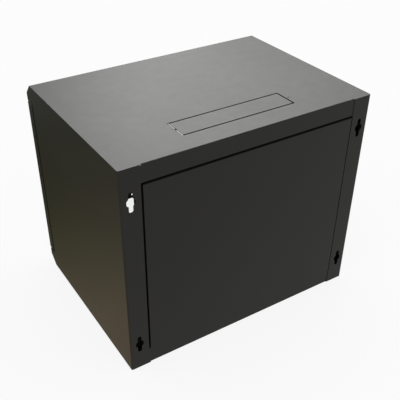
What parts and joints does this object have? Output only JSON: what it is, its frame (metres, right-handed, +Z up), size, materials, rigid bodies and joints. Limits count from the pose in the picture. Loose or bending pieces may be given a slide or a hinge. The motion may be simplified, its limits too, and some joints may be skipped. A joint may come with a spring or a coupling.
{
  "type": "wall mount network cabinet",
  "caption": "Shallow wall mount equipment cabinet with bevelled front noses, a glazed hinged door with a cam lock, square-holed rails and a lift-off rear plate",
  "frame": {"origin": "middle of the bounding box's bottom face", "axes": "+X to the right seen from the front, +Y from the door to the wall, +Z up"},
  "size_m": [0.6, 0.459, 0.501],
  "materials": {
    "black_powder_coat": "fine textured matt powder coat",
    "zinc_plate": "bright zinc plate",
    "spring_steel": "oiled spring steel",
    "clear_glass": "clear toughened glass",
    "black_rubber": "matt",
    "bush_nylon": "moulded nylon",
    "lock_chrome": "polished nickel and chrome"
  },
  "bodies": {
    "cabinet": {"top_panel": "black_powder_coat", "bottom_panel": "black_powder_coat", "left_side_panel": "black_powder_coat", "right_side_panel": "black_powder_coat", "top_knockout": "black_powder_coat", "bottom_knockout": "black_powder_coat", "rear_plate": "black_powder_coat", "upper_brace_left": "black_powder_coat", "upper_brace_right": "black_powder_coat", "lower_brace_left": "black_powder_coat", "lower_brace_right": "black_powder_coat", "front_rail_left": "black_powder_coat", "front_rail_right": "black_powder_coat", "rear_rail_left": "black_powder_coat", "rear_rail_right": "black_powder_coat", "rail_bolts": "zinc_plate", "rail_nuts": "zinc_plate", "cage_nuts": "zinc_plate", "earth_nut": "zinc_plate", "upper_bush": "bush_nylon", "lower_bush": "bush_nylon"},
    "door": {"door_frame": "black_powder_coat", "door_glass": "clear_glass", "glass_seal": "black_rubber", "glass_clips": "zinc_plate", "clip_nuts": "zinc_plate", "door_buffers": "black_rubber", "door_earth_nut": "zinc_plate", "pull_spring": "spring_steel", "pin_bracket": "black_powder_coat", "lower_pin": "zinc_plate", "lock_housing": "lock_chrome", "lock_nut": "lock_chrome"},
    "lock_barrel": {"lock_plug": "lock_chrome", "lock_cam": "zinc_plate", "cam_screw": "zinc_plate"},
    "release_pin": {"pull_pin": "zinc_plate"}
  },
  "joints": [
    {"name": "door_hinge", "type": "hinge", "parent": "cabinet", "child": "door", "pos_m": [-0.292, -0.21025, 0.2505], "axis": [0, 0, -1], "range_deg": [0, 180]},
    {"name": "lock_turn", "type": "hinge", "parent": "door", "child": "lock_barrel", "pos_m": [0.268, -0.21025, 0.2505], "axis": [0, 1, 0], "range_deg": [-90, 0]},
    {"name": "hinge_pin_slide", "type": "slide", "parent": "door", "child": "release_pin", "axis": [0, 0, 1], "range_m": [-0.011, 0], "stiffness_N_per_m": 500, "springref_m": 0.01, "deforming": ["pull_spring"]}
  ]
}
